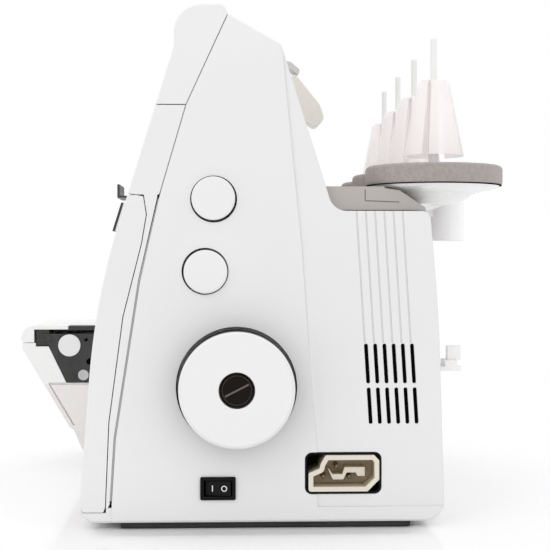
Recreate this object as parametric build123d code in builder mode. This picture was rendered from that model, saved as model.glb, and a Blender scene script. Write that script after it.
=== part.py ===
"""Serger overlock machine. X points to the handwheel side, Y to the back, Z up, in mm.

The origin is on the table, under the middle of the machine's outer box.
"""

import os

from build123d import *

# --- driving dimensions -------------------------------------------------------------
SIDE_X = 148.0  # face of the right side cover
COVER_X = 118.0  # where the right side cover meets the long covers
COLUMN_X = -62.0  # left face of the column
HEAD_X = -150.0  # left end of the head
END_X = -122.0  # where the head end cover meets the long covers
BED_X = -167.5  # left end of the bed
WALL = 2.5
SEAM = 0.5  # gap between neighbouring covers
GAP = 0.3  # least gap between bodies
FLOOR_Z = 3.6  # underside of the casing
HEAD_Z = 166.0  # underside of the head
DOOR_Z = 187.0  # top of the looper door
TOP_Z = 237.4  # lower edge of the top cover
CASE_TOP = 293.8

HINGE_Y = -85.5  # hinge line of the looper door
HINGE_Z = 14.5
SWING_R = 174.5  # the door's top edge follows its swing
HINGE_CLEAR_R = 4.9  # the door's lower front corner turns inside this
HEEL_R = 10.1  # the door's lower back corner turns inside this
FRONT_FOOT = (-80.9, 129.3)  # where the casing's front starts to lean back
FRONT_HEAD = (-36.9, 270.7)  # where the front meets the top cover's slope

SHAFT_Y = -2.1
SHAFT_Z = 79.3
SHAFT_R = 6.0
WHEEL_R = 32.0
WHEEL_X = 167.5
WHEEL_WELL_R = 33.9
WHEEL_WELL_X = 137.0

MOTOR_Y = 74.0
MOTOR_Z = 62.0
MOTOR_R = 27.0
BELT_X = 127.0
BELT_W = 7.0
BIG_PULLEY_R = 26.0
SMALL_PULLEY_R = 7.0

KNOB_R = 12.2
KNOB_GAP = 0.9
KNOB_DEPTH = 9.0
KNOB_PROUD = 2.5
KNOB_SHAFT_R = 3.2
LENGTH_WELL = (-14.9, 184.7)
FEED_WELL = (-19.7, 144.3)
LENGTH_KNOB = (LENGTH_WELL[0] - 0.2, LENGTH_WELL[1] + 0.4)  # a little off its well's middle
FEED_KNOB = (FEED_WELL[0] + 0.25, FEED_WELL[1] - 0.25)

SWITCH_Y = (-22.5, -2.6)
SWITCH_Z = (16.3, 29.2)
INLET_Y = (36.2, 79.5)
INLET_Z = (19.0, 42.6)

NEEDLE_X = -100.0
NEEDLE_Y = -30.0
PRESSER_Y = -8.0
PLATE_Z = 103.6  # top of the needle plate and the cloth plate
BED_RIM_Z = 91.5  # top of the bed housing
BED_NOSE_Y = -154.4
BED_BACK_Y = 98.0
BED_RIGHT_X = COLUMN_X - 0.6

SPOOL_Y = 114.2
SPOOL_X = (113.0, 33.4, -46.2, -125.8)
FOAM_R = 40.2
FOAM_Z = (194.0, 205.6)
PIN_TOP = 281.0
CONE_Z = (211.7, 256.2)
CUP_X = -6.4
CUP_Y = 142.6
CUP_R = 11.5
CUP_BORE = 8.5
CUP_Z = (164.0, 192.0)

DIAL_X = (84.0, 44.0, 4.0, -36.0)
DIAL_Y = -37.0
DIAL_Z = 213.0
DIAL_R = 16.0
DIAL_W = 9.0

os.makedirs("parts", exist_ok=True)


def save(part, name):
    """Labels a finished piece and writes it as one STEP file."""
    part.label = name
    export_step(part, f"parts/{name}.step")


def block(x, y, z):
    """A plain box between two limits on each axis."""
    with BuildPart() as made:
        with BuildSketch(Plane.XY.offset(z[0])):
            with Locations(((x[0] + x[1]) / 2, (y[0] + y[1]) / 2)):
                Rectangle(x[1] - x[0], y[1] - y[0])
        extrude(amount=z[1] - z[0])
    return made.part


def rod_x(x, y, z, radius):
    """A cylinder along X at (y, z)."""
    with BuildPart() as made:
        with BuildSketch(Plane.YZ.offset(x[0])):
            with Locations((y, z)):
                Circle(radius)
        extrude(amount=x[1] - x[0])
    return made.part


def rod_z(x, y, z, radius):
    """A cylinder along Z at (x, y)."""
    with BuildPart() as made:
        with BuildSketch(Plane.XY.offset(z[0])):
            with Locations((x, y)):
                Circle(radius)
        extrude(amount=z[1] - z[0])
    return made.part


def side_slab(points, x):
    """A straight-sided polygon of the (Y, Z) plane, between two X limits."""
    with BuildPart() as made:
        with BuildSketch(Plane.YZ.offset(x[0])):
            with BuildLine():
                Polyline(*points, close=True)
            make_face()
        extrude(amount=x[1] - x[0])
    return made.part


# --- casing outline and shell -------------------------------------------------------
CORNERS = (  # (Y, Z, corner radius) of the casing seen from the side
    (-90.6, FLOOR_Z, 9.0),
    (*FRONT_FOOT, 400.0),
    (*FRONT_HEAD, 3.0),
    (-37.6, CASE_TOP, 16.0),
    (-9.6, CASE_TOP, 4.0),
    (-6.6, 288.2, 1.0),
    (22.9, 271.6, 4.0),
    (52.4, 178.3, 10.0),
    (106.9, 178.3, 5.0),
    (111.9, 119.0, 900.0),
    (115.4, FLOOR_Z, 11.0),
)
with BuildSketch() as outline:
    with BuildLine():
        FilletPolyline(
            *[(y, z) for y, z, r in CORNERS], radius=[r for y, z, r in CORNERS], close=True
        )
    make_face()
with BuildSketch() as head_area:
    with BuildLine():
        Polyline((-110, HEAD_Z), (50, HEAD_Z), (50.3, 185.5), (20, 300), (-110, 300), close=True)
    make_face()
with BuildSketch() as head_outline:
    add(outline.sketch)
    add(head_area.sketch, mode=Mode.INTERSECT)
with BuildSketch() as inner_outline:
    offset(outline.sketch, amount=-WALL, kind=Kind.INTERSECTION)
with BuildSketch() as inner_head_outline:
    offset(head_outline.sketch, amount=-WALL, kind=Kind.INTERSECTION)

with BuildPart() as casing:
    with BuildSketch(Plane.YZ.offset(COLUMN_X)):
        add(outline.sketch)
    extrude(amount=SIDE_X - COLUMN_X)
    with BuildSketch(Plane.YZ.offset(HEAD_X)):
        add(head_outline.sketch)
    extrude(amount=COLUMN_X - HEAD_X)
    side_faces = casing.faces().sort_by(Axis.X)
    edge_rim = side_faces[-1].edges()
    chamfer(edge_rim, length=1.2)
    with BuildSketch(Plane.YZ.offset(COLUMN_X + WALL)):
        add(inner_outline.sketch)
    extrude(amount=SIDE_X - COLUMN_X - 2 * WALL, mode=Mode.SUBTRACT)
    with BuildSketch(Plane.YZ.offset(HEAD_X + WALL)):
        add(inner_head_outline.sketch)
    extrude(amount=COLUMN_X - HEAD_X + WALL, mode=Mode.SUBTRACT)

# --- seams, as lines of the side view -----------------------------------------------
SIDE_SEAM = [
    (-5.5, 310.0),
    (-6.8, 288.4),
    (-30.3, TOP_Z),
    (-45.1, DOOR_Z),
    (-56.1, 139.0),
    (-69.7, 51.0),
    (-72.1, 14.0),
    (-72.6, -5.0),
]
DOOR_SEAM = [
    (-54.3, DOOR_Z),
    (-52.6, 176.0),
    (-55.3, 160.0),
    (-65.7, 119.0),
    (-73.6, 60.0),
    (-75.7, 9.5),
]
FRONT_LIMIT = -130.0
BACK_LIMIT = 150.0


def shifted(points, step):
    """The same seam, moved along Y."""
    return [(y + step, z) for y, z in points]


def behind(seam, step):
    """Area behind a seam line."""
    line = shifted(seam, step)
    return line + [(BACK_LIMIT, line[-1][1]), (BACK_LIMIT, line[0][1])]


def ahead(seam, step):
    """Area in front of a seam line."""
    line = shifted(seam, step)
    return line + [(FRONT_LIMIT, line[-1][1]), (FRONT_LIMIT, line[0][1])]


BEHIND_SIDE = behind(SIDE_SEAM, SEAM / 2)
UPPER_SEAM = [(y, z) for y, z in SIDE_SEAM if z >= TOP_Z]
MIDDLE_SEAM = [(y, z) for y, z in SIDE_SEAM if DOOR_Z <= z <= TOP_Z]
LOWER_SEAM = [(y, z) for y, z in SIDE_SEAM if z <= DOOR_Z]


def front_face(z):
    """Y of the leaning front face at a height."""
    rise = (z - FRONT_FOOT[1]) / (FRONT_HEAD[1] - FRONT_FOOT[1])
    return FRONT_FOOT[0] + rise * (FRONT_HEAD[0] - FRONT_FOOT[0])


def region(points, x, z_low=-10.0, z_high=320.0):
    """A seam region of the casing, trimmed to a height band."""
    return side_slab(points, x) & block(x, (-200, 200), (z_low, z_high))


# --- right side cover ---------------------------------------------------------------
VENT_PITCH = 5.2
VENT_W = 2.2
VENT_COUNT = 6
VENT_Y = 71.6
VENT_ROWS = ((81.1, 103.6), (58.3, 78.9))
VENT_LEAN = 3.6  # degrees
CREASE = [
    (24.5, 290.0),
    (23.4, 270.7),
    (28.5, 217.8),
    (34.4, 158.7),
    (39.3, 90.0),
    (43.2, 44.0),
    (43.4, 12.0),
    (130.0, 12.0),
    (130.0, 290.0),
]
CREASE_DEPTH = 1.0

with BuildPart() as right_cover:
    add(casing.part)
    add(region(BEHIND_SIDE, (COVER_X, SIDE_X + 5)), mode=Mode.INTERSECT)
    with BuildSketch(Plane.YZ.offset(SIDE_X)):
        with BuildLine():
            Polyline(*CREASE, close=True)
        make_face()
    extrude(amount=-CREASE_DEPTH, mode=Mode.SUBTRACT)
    # well of the handwheel
    with BuildSketch(Plane.YZ.offset(WHEEL_WELL_X)):
        with Locations((SHAFT_Y, SHAFT_Z)):
            Circle(WHEEL_WELL_R + 2)
    extrude(amount=SIDE_X - WHEEL_WELL_X - WALL / 2)
    with BuildSketch(Plane.YZ.offset(WHEEL_WELL_X + 2)):
        with Locations((SHAFT_Y, SHAFT_Z)):
            Circle(WHEEL_WELL_R)
    extrude(amount=30, mode=Mode.SUBTRACT)
    with BuildSketch(Plane.YZ.offset(WHEEL_WELL_X - 5)):
        with Locations((SHAFT_Y, SHAFT_Z)):
            Circle(SHAFT_R + 1)
    extrude(amount=10, mode=Mode.SUBTRACT)
    # wells of the two adjusting knobs
    with BuildSketch(Plane.YZ.offset(SIDE_X - KNOB_DEPTH - 1.5)):
        with Locations(LENGTH_WELL, FEED_WELL):
            Circle(KNOB_R + KNOB_GAP + 1.5)
    extrude(amount=KNOB_DEPTH)
    with BuildSketch(Plane.YZ.offset(SIDE_X - KNOB_DEPTH)):
        with Locations(LENGTH_WELL, FEED_WELL):
            Circle(KNOB_R + KNOB_GAP)
    extrude(amount=30, mode=Mode.SUBTRACT)
    with BuildSketch(Plane.YZ.offset(SIDE_X - 20)):
        with Locations(LENGTH_KNOB, FEED_KNOB):
            Circle(KNOB_SHAFT_R + 0.3)
    extrude(amount=20, mode=Mode.SUBTRACT)
    # switch and inlet windows
    with BuildSketch(Plane.YZ.offset(SIDE_X - 10)):
        with Locations((sum(SWITCH_Y) / 2, sum(SWITCH_Z) / 2)):
            Rectangle(SWITCH_Y[1] - SWITCH_Y[0] - 2, SWITCH_Z[1] - SWITCH_Z[0] - 2)
        with Locations((sum(INLET_Y) / 2, sum(INLET_Z) / 2)):
            RectangleRounded(INLET_Y[1] - INLET_Y[0], INLET_Z[1] - INLET_Z[0], 4)
    extrude(amount=20, mode=Mode.SUBTRACT)
    # vents lean back a little, and a groove runs down to each column
    for row_low, row_high in VENT_ROWS:
        for column in range(VENT_COUNT):
            middle = (row_low + row_high) / 2
            lean = (VENT_ROWS[0][1] - middle) * 0.063
            with BuildSketch(Plane.YZ.offset(SIDE_X - 10)):
                with Locations((VENT_Y - 1 + column * VENT_PITCH + lean, middle)):
                    SlotOverall(row_high - row_low, VENT_W, rotation=90 + VENT_LEAN)
            extrude(amount=20, mode=Mode.SUBTRACT)
    for column in range(VENT_COUNT):
        with BuildSketch(Plane.YZ.offset(SIDE_X - CREASE_DEPTH)):
            with Locations((VENT_Y - 4 + column * VENT_PITCH, 142.0)):
                Rectangle(0.8, 76, rotation=VENT_LEAN)
        extrude(amount=-0.5, mode=Mode.SUBTRACT)

# --- long covers --------------------------------------------------------------------
LEFT_OF_COVER = COVER_X - SEAM
FULL_SPAN = (HEAD_X - 5, SIDE_X + 5)
DOOR_SPAN = (COLUMN_X, SIDE_X + 5)
FRAME_SPAN = (COLUMN_X - 2 * GAP, SIDE_X + 5)
HEAD_SPAN = (HEAD_X - 5, COLUMN_X - GAP)
LEVER_X = (-72.0, -56.0)
LEVER_SLOT_Z = (234.0, 260.0)
BAR_R = 3.2  # needle bar and presser bar
BAR_HOLE_R = 7.0
SCREW_Y = PRESSER_Y + 14
SCREW_R = 5.8

with BuildPart() as rear_cover:
    add(casing.part)
    add(region(BEHIND_SIDE, (END_X + SEAM, LEFT_OF_COVER), 12.5), mode=Mode.INTERSECT)
    # openings for the needle bar and the presser bar under the head
    for y in (NEEDLE_Y, PRESSER_Y):
        add(rod_z(NEEDLE_X, y, (HEAD_Z - 5, HEAD_Z + 10), BAR_HOLE_R), mode=Mode.SUBTRACT)
    # slot of the presser lever in the back of the head
    add(
        block((LEVER_X[0] - 1.5, LEVER_X[1] + 1.5), (20, 60), LEVER_SLOT_Z), mode=Mode.SUBTRACT
    )
    # hole of the pressure screw in the top
    add(
        rod_z(NEEDLE_X, SCREW_Y, (TOP_Z + 25, CASE_TOP + 5), SCREW_R + 0.7), mode=Mode.SUBTRACT
    )

with BuildPart() as left_cover:
    add(casing.part)
    add(region(BEHIND_SIDE, (HEAD_X - 5, END_X)), mode=Mode.INTERSECT)

with BuildPart() as top_cover:
    add(casing.part)
    add(
        region(ahead(UPPER_SEAM, -SEAM / 2), FULL_SPAN, TOP_Z + SEAM / 2), mode=Mode.INTERSECT
    )

CHANNEL_W = DIAL_W + 3
CHANNEL_Z = (197.0, 231.0)
STRIP_GAP = 1.2  # the groove between the front frame and the side cover
SEAM_HOLE = (-45.6, 186.5, 0.8)
DOOR_LOW = 9.6
STRIP = (
    [(DOOR_SEAM[0][0] + SEAM, DOOR_Z + 1)]
    + [(y + SEAM, z) for y, z in DOOR_SEAM]
    + [(y - STRIP_GAP + SEAM / 2, z) for y, z in reversed(LOWER_SEAM) if z > DOOR_LOW]
    + [(LOWER_SEAM[0][0] - STRIP_GAP + SEAM / 2, DOOR_Z + 1)]
)
with BuildPart() as front_panel:
    add(casing.part)
    add(
        region(ahead(MIDDLE_SEAM, -SEAM / 2), FULL_SPAN, DOOR_Z + GAP / 2, TOP_Z - SEAM / 2),
        mode=Mode.INTERSECT,
    )
    # the door's top edge passes below
    add(rod_x((HEAD_SPAN[1], SIDE_X + 9), HINGE_Y, HINGE_Z, SWING_R + GAP), mode=Mode.SUBTRACT)
    # the head goes on below the door's top
    add(
        casing.part
        & region(ahead(SIDE_SEAM, -SEAM / 2), HEAD_SPAN, HEAD_Z - 5, DOOR_Z + SEAM)
    )
    # narrow frame between the door and the side cover
    add(casing.part & region(STRIP, FRAME_SPAN, 12.0, DOOR_Z + SEAM))
    add(rod_x((SIDE_X - 9, SIDE_X + 9), *SEAM_HOLE), mode=Mode.SUBTRACT)
    for x in DIAL_X:
        add(
            block((x - CHANNEL_W / 2, x + CHANNEL_W / 2), (-80, -30), CHANNEL_Z),
            mode=Mode.SUBTRACT,
        )

GRIP_X = (96.0, 140.0)
GRIP_Z = (167.0, 183.0)
GRIP_PAD = 1.3  # raised pad under the grip
GRIP_PROUD = 2.9
KNUCKLE_X = (-40.0, 110.0)
LUG_X = (-49.0, 100.0)
LUG_HOOK = 5.6  # the lugs are hooks over the rod as far back as this
HINGE_ROD_R = 1.5


def grip_slab(low, high, x):
    """A band in front of the leaning front face, between two distances from it."""
    corners = [(high, GRIP_Z[0]), (high, GRIP_Z[1]), (low, GRIP_Z[1]), (low, GRIP_Z[0])]
    return side_slab([(front_face(z) - step, z) for step, z in corners], x)


DOOR_AREA = DOOR_SEAM + [(FRONT_LIMIT, 9.5), (FRONT_LIMIT, DOOR_Z)]
with BuildPart() as looper_door:
    add(casing.part)
    add(region(DOOR_AREA, DOOR_SPAN, DOOR_LOW, DOOR_Z - GAP / 2), mode=Mode.INTERSECT)
    add(rod_x((COLUMN_X - 9, SIDE_X + 9), HINGE_Y, HINGE_Z, SWING_R), mode=Mode.INTERSECT)
    # rounded foot, which turns about the hinge line
    add(
        block((COLUMN_X - 9, SIDE_X + 9), (FRONT_LIMIT, HINGE_Y), (0, HINGE_Z))
        - rod_x((COLUMN_X - 10, SIDE_X + 10), HINGE_Y, HINGE_Z, HINGE_CLEAR_R),
        mode=Mode.SUBTRACT,
    )
    add(
        block((COLUMN_X - 9, SIDE_X + 9), (HINGE_Y, HINGE_Y + 20), (0, HINGE_Z))
        - rod_x((COLUMN_X - 10, SIDE_X + 10), HINGE_Y, HINGE_Z, HEEL_R),
        mode=Mode.SUBTRACT,
    )
    add(grip_slab(-WALL / 2, GRIP_PAD, GRIP_X))
    # knuckles that hold the hinge rod
    for x in KNUCKLE_X:
        add(rod_x((x, x + 8), HINGE_Y, HINGE_Z, 2.9))
        add(rod_x((x - 1, x + 9), HINGE_Y, HINGE_Z, HINGE_ROD_R + 0.05), mode=Mode.SUBTRACT)

with BuildPart() as base_pan:
    add(casing.part)
    add(
        region([(-200, -10), (200, -10), (200, 12), (-75, 12), (-75, 9.3), (-200, 9.3)], FULL_SPAN),
        mode=Mode.INTERSECT,
    )
    # lugs that carry the hinge rod of the looper door
    for x in LUG_X:
        add(block((x, x + 4), (HINGE_Y - 1, HINGE_Y + 12), (HINGE_Z - 8, HINGE_Z + 2.6)))
        add(rod_x((x - 1, x + 5), HINGE_Y, HINGE_Z, HINGE_ROD_R + 0.1), mode=Mode.SUBTRACT)
        add(
            block((x - 1, x + 5), (HINGE_Y - 2, HINGE_Y + LUG_HOOK), (0, HINGE_Z - 1.2)),
            mode=Mode.SUBTRACT,
        )
    add(region(BEHIND_SIDE, (COVER_X - SEAM, SIDE_X + 5)), mode=Mode.SUBTRACT)
    # wall behind the looper door
    add(
        side_slab(
            [(-40.5, 185.0), (-52, 139), (-66, 51), (-68, 14), (-65.5, 14), (-63.5, 51),
             (-49.5, 139), (-38, 185.0)],
            (COLUMN_X + WALL + GAP, LEFT_OF_COVER),
        )
    )

# --- thumb grip of the door, and the door's hinge rod -------------------------------
with BuildPart() as door_grip:
    add(grip_slab(GRIP_PAD, GRIP_PROUD, (GRIP_X[0] + 1, GRIP_X[1] - 1)))
with BuildPart() as door_hinge_rod:
    add(rod_x((COLUMN_X + 6, SIDE_X - 8), HINGE_Y, HINGE_Z, HINGE_ROD_R))

# --- bed ----------------------------------------------------------------------------
BED_CORNERS = (
    (-153.8, BED_RIM_Z, 0.0),
    (-153.4, 87.0, 4.0),
    (-120.0, 31.0, 1.5),
    (-117.0, 29.0, 0.8),
    (-112.0, 17.0, 3.0),
    (-104.0, FLOOR_Z, 4.0),
    (BED_BACK_Y, FLOOR_Z, 8.0),
    (BED_BACK_Y, BED_RIM_Z, 0.0),
)
with BuildSketch() as bed_outline:
    with BuildLine():
        FilletPolyline(
            *[(y, z) for y, z, r in BED_CORNERS],
            radius=[r for y, z, r in BED_CORNERS],
            close=True,
        )
    make_face()
GROOVE_X = (BED_RIGHT_X - 1.6, BED_RIGHT_X + 5)
with BuildPart() as bed_housing:
    with BuildSketch(Plane.YZ.offset(BED_X)):
        add(bed_outline.sketch)
    extrude(amount=BED_RIGHT_X - BED_X)
    with BuildSketch(Plane.YZ.offset(BED_X + WALL)):
        offset(bed_outline.sketch, amount=-WALL, kind=Kind.INTERSECTION)
    extrude(amount=BED_RIGHT_X - BED_X - 2 * WALL, mode=Mode.SUBTRACT)
    # the top is open, and the right wall leaves room for the metal side plate
    add(
        block((BED_X + WALL, BED_RIGHT_X - WALL), (-148, BED_BACK_Y - WALL), (80, 100)),
        mode=Mode.SUBTRACT,
    )
    add(
        side_slab(
            [(-144.2, 110), (-144.2, 88.9), (-135.0, 88.9), (-122.4, 62.8), (-58, 62.8), (-58, 110)],
            (BED_RIGHT_X - WALL - 1, BED_X + 200),
        ),
        mode=Mode.SUBTRACT,
    )
    # seam under the metal plate, which turns down along the front edge
    add(
        side_slab([(-134.9, 61.4), (-134.9, 62.9), (-58, 62.9), (-58, 61.4)], GROOVE_X),
        mode=Mode.SUBTRACT,
    )
    add(
        side_slab([(-134.9, 61.6), (-133.7, 61.6), (-116.4, 32.3), (-117.6, 32.3)], GROOVE_X),
        mode=Mode.SUBTRACT,
    )

WINDOW_X = (-124.0, BED_RIGHT_X + 5)
WINDOW_Y = (-62.0, 24.0)
with BuildPart() as cloth_plate:
    with BuildSketch(Plane.YZ.offset(BED_X)):
        with BuildLine():
            FilletPolyline(
                (BED_NOSE_Y, BED_RIM_Z + GAP),
                (BED_NOSE_Y, PLATE_Z),
                (BED_BACK_Y, PLATE_Z),
                (BED_BACK_Y, BED_RIM_Z + GAP),
                radius=(2.5, 9.0, 5.0, 1.0),
                close=True,
            )
        make_face()
    extrude(amount=BED_RIGHT_X - BED_X)
    add(
        block((BED_X + WALL, BED_RIGHT_X + 5), (BED_NOSE_Y + 9, BED_BACK_Y - WALL),
              (BED_RIM_Z - 5, PLATE_Z - WALL)),
        mode=Mode.SUBTRACT,
    )
    add(block(WINDOW_X, WINDOW_Y, (80, 120)), mode=Mode.SUBTRACT)
    add(block((-76, BED_RIGHT_X + 5), (-121, WINDOW_Y[0] + 1), (80, 120)), mode=Mode.SUBTRACT)

WIDTH_KNOB = (-120.2, 89.7)
WIDTH_KNOB_R = 7.9
PLATE_X = (BED_RIGHT_X - 2.2, BED_RIGHT_X - 0.7)
with BuildPart() as bed_side_plate:
    add(side_slab([(-139.4, 98.0), (-60, 98.0), (-60, 63.2), (-122.2, 63.2)], PLATE_X))
    for y, z, r in ((*WIDTH_KNOB, 2.6), (-105.7, 78.0, 2.4), (-108.3, 93.7, 1.3)):
        add(rod_x((BED_RIGHT_X - 10, BED_RIGHT_X + 5), y, z, r), mode=Mode.SUBTRACT)
    # rivets
    for y, z, r in ((-134.9, 94.6, 2.1), (-118.2, 67.3, 2.3), (-128.4, 95.4, 1.4), (-84, 70, 3)):
        add(rod_x((PLATE_X[0], BED_RIGHT_X - 0.1), y, z, r))
    # bracket behind the nose, and the lip beside the needle plate
    add(
        side_slab([(-144, 101), (-144, 89.2), (-134.8, 89.2), (-134.8, 101)],
                  (BED_RIGHT_X - 5, PLATE_X[0])),
    )
    add(block((-75.6, BED_RIGHT_X), (-120.6, WINDOW_Y[0] + 0.4), (PLATE_Z - 3, PLATE_Z)))

with BuildPart() as stitch_width_knob:
    add(rod_x((BED_RIGHT_X - 0.4, BED_RIGHT_X + GAP), *WIDTH_KNOB, WIDTH_KNOB_R))
    add(rod_x((BED_RIGHT_X - 8, BED_RIGHT_X), *WIDTH_KNOB, 2.3))

FEED_X = (-108.0, -101.0, -94.0)
TOOTH_COUNT = 12
TOOTH_PITCH = 2.4
with BuildPart() as needle_plate:
    with BuildSketch(Plane.XY.offset(PLATE_Z - 1.6)):
        with Locations(((-123.5 + BED_RIGHT_X) / 2, sum(WINDOW_Y) / 2)):
            RectangleRounded(BED_RIGHT_X + 123.5, WINDOW_Y[1] - WINDOW_Y[0] - 1, 2)
    extrude(amount=1.6)
    # needle slot, feed slots and the open side where knives and looper work
    add(block((-105, -95), (NEEDLE_Y - 2, NEEDLE_Y + 2), (90, 110)), mode=Mode.SUBTRACT)
    for x in FEED_X:
        add(block((x - 2, x + 2), (-24, 12), (90, 110)), mode=Mode.SUBTRACT)
    add(block((-88, BED_RIGHT_X + 1), (-48, -20), (90, 110)), mode=Mode.SUBTRACT)

with BuildPart() as feed_dogs:
    for x in FEED_X:
        add(block((x - 1.4, x + 1.4), (-21, 9), (94, PLATE_Z - 0.4)))
        for tooth in range(TOOTH_COUNT):
            y = -20 + tooth * TOOTH_PITCH
            add(block((x - 1.5, x + 1.5), (y, y + 0.8), (PLATE_Z - 1.2, 110)), mode=Mode.SUBTRACT)
    add(block((-110, -92), (-18, 6), (88, 94)))

with BuildPart() as lower_knife:
    add(block((-87.5, -85.5), (-40, -30), (70, PLATE_Z)))
    add(block((-91.5, -87.5), (-40, -30), (66, 92)))

# --- needle bar, presser bar and what they carry ------------------------------------
NEEDLES_X = (NEEDLE_X - 2.4, NEEDLE_X + 2.4)
SHANK_R = 1.0
with BuildPart() as needle_bar:
    add(rod_z(NEEDLE_X, NEEDLE_Y, (154, 262), BAR_R))
    add(block((NEEDLE_X - 8, NEEDLE_X + 8), (NEEDLE_Y - 5, NEEDLE_Y + 5), (212, 220)))
    # clamp with its two set screws
    add(rod_z(NEEDLE_X, NEEDLE_Y, (146, 158), 5.5))
    for x in (NEEDLE_X - 3, NEEDLE_X + 3):
        with BuildSketch(Plane.XZ.offset(-NEEDLE_Y + 5)):
            with Locations((x, 150)):
                Circle(1.4)
        extrude(amount=4)
    for x in NEEDLES_X:
        add(rod_z(x, NEEDLE_Y, (140, 152), SHANK_R + 0.05), mode=Mode.SUBTRACT)
with BuildPart() as needles:
    for x in NEEDLES_X:
        add(rod_z(x, NEEDLE_Y, (139, 152), SHANK_R))
        with BuildSketch(Plane.XY.offset(139)):
            with Locations((x, NEEDLE_Y)):
                Circle(0.55)
        with BuildSketch(Plane.XY.offset(116)):
            with Locations((x, NEEDLE_Y)):
                Circle(0.35)
        loft()

with BuildPart() as presser_bar:
    add(rod_z(NEEDLE_X, PRESSER_Y, (124, 238), BAR_R))
    add(block((NEEDLE_X - 6, NEEDLE_X + 6), (PRESSER_Y - 5, PRESSER_Y + 5), (196, 204)))
with BuildPart() as presser_spring:
    with BuildSketch(Plane.XY.offset(204.2)):
        with Locations((NEEDLE_X, PRESSER_Y)):
            Circle(5.0)
            Circle(3.6, mode=Mode.SUBTRACT)
    extrude(amount=22)
FOOT_PIVOT = (-19.0, 114.0)
FOOT_PIN_R = 1.4
with BuildPart() as presser_ankle:
    add(block((NEEDLE_X - 4, NEEDLE_X + 4), (PRESSER_Y - 5, PRESSER_Y + 5), (112, 134)))
    add(rod_z(NEEDLE_X, PRESSER_Y, (123.9, 140), BAR_R), mode=Mode.SUBTRACT)
    add(block((NEEDLE_X - 2.5, NEEDLE_X + 2.5), (-21, PRESSER_Y - 4), (112, 119)))
    add(rod_x((NEEDLE_X - 7, NEEDLE_X + 7), *FOOT_PIVOT, FOOT_PIN_R))
    add(rod_x((NEEDLE_X + 4, NEEDLE_X + 10), PRESSER_Y, 129, 3.4))
with BuildPart() as presser_foot:
    with BuildSketch(Plane.YZ.offset(NEEDLE_X - 11)):
        with BuildLine():
            FilletPolyline(
                (-56, 110), (-48, PLATE_Z + 0.4), (-17, PLATE_Z + 0.4), (9, 107.2), (8, 109),
                (-46, 106.8), (-54, 112), radius=(0.4, 4, 3, 0.4, 0.4, 3, 0.4), close=True,
            )
        make_face()
    extrude(amount=22)
    for x in (NEEDLE_X - 8, NEEDLE_X + 5.4):
        add(block((x, x + 2.6), (-24, -14), (105, 116.5)))
    # needle window and the side that leaves room for the knife
    add(block((NEEDLE_X - 5, NEEDLE_X + 5), (-36, -25), (100, 112)), mode=Mode.SUBTRACT)
    add(
        rod_x((NEEDLE_X - 20, NEEDLE_X + 20), *FOOT_PIVOT, FOOT_PIN_R + 0.1), mode=Mode.SUBTRACT
    )

with BuildPart() as upper_knife:
    add(block((-85.2, -83.2), (-41, -29), (104.4, 126)))
    add(block((-83.2, -76), (-40, -30), (114, 122)))
    add(block((-79, -73), (-40, -30), (64, 122)))
with BuildPart() as upper_looper:
    add(rod_x((-70.5, -66.5), -36, 40, 5))
    add(block((-70, -67), (-38, -34), (40, 88)))
    add(block((-72, -66.8), (-38, -34), (84, 90)))
with BuildPart() as lower_looper:
    with BuildSketch(Plane.XZ.offset(24)):
        with Locations((-112, 36)):
            Circle(5)
    extrude(amount=4)
    add(block((-113.5, -110.5), (-28, -24), (36, 84)))
    add(block((-113.5, -104), (-28, -24), (81, 84)))

# --- presser lever, pressure screw, take-up lever -----------------------------------
LEVER_PIVOT = (18.0, 238.0)
with BuildPart() as presser_lever:
    with BuildSketch(Plane.YZ.offset(LEVER_X[0])):
        with BuildLine():
            FilletPolyline(
                (14, 235), (22, 234), (50, 250), (56, 244.8), (62.5, 252), (59.5, 262),
                (41.4, 284.2), (38.6, 282.4), (46.5, 258), (14, 243),
                radius=(3, 3, 4, 4, 5, 9, 1.4, 1.4, 5, 3), close=True,
            )
        make_face()
    extrude(amount=LEVER_X[1] - LEVER_X[0])
    add(rod_x((-94, LEVER_X[1] + 4), *LEVER_PIVOT, 3.0))
SCREW_TOP = 288.0
with BuildPart() as pressure_screw:
    add(rod_z(NEEDLE_X, SCREW_Y, (250, SCREW_TOP), SCREW_R))
    chamfer(pressure_screw.edges().group_by(Axis.Z)[-1], 1.0)
    add(
        block(
            (NEEDLE_X - SCREW_R - 1, NEEDLE_X + SCREW_R + 1),
            (SCREW_Y - 0.6, SCREW_Y + 0.6),
            (SCREW_TOP - 1.6, SCREW_TOP + 2),
        ),
        mode=Mode.SUBTRACT,
    )
with BuildPart() as take_up_lever:
    add(rod_x((-84, -78), -30, 196, 6))
    add(block((-82.5, -79.5), (-36, -24), (196, 226)))
    add(block((-92, -79.5), (-36, -24), (223, 226)))

# --- tension dials, posts and thread guides -----------------------------------------
def tension_dial(x):
    """A thumbwheel in its slot in the front panel, knurled by flutes around the rim."""
    with BuildPart() as made:
        add(rod_x((x - DIAL_W / 2, x + DIAL_W / 2), DIAL_Y, DIAL_Z, DIAL_R))
        add(rod_x((x - DIAL_W, x + DIAL_W), DIAL_Y, DIAL_Z, 3.1), mode=Mode.SUBTRACT)
        with BuildSketch(Plane.YZ.offset(x - DIAL_W / 2 - 1)):
            with Locations((DIAL_Y, DIAL_Z)):
                with PolarLocations(DIAL_R, 30):
                    Circle(0.8)
        extrude(amount=DIAL_W + 2, mode=Mode.SUBTRACT)
    return made.part


with BuildPart() as tension_posts:
    add(rod_x((min(DIAL_X) - 12, max(DIAL_X) + 12), DIAL_Y, DIAL_Z, 3.0))
    for x in DIAL_X:
        add(
            block((x + 7.0, x + 9.5), (DIAL_Y - 4, -18.3), (DIAL_Z - 8, DIAL_Z + 8)),
        )

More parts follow.
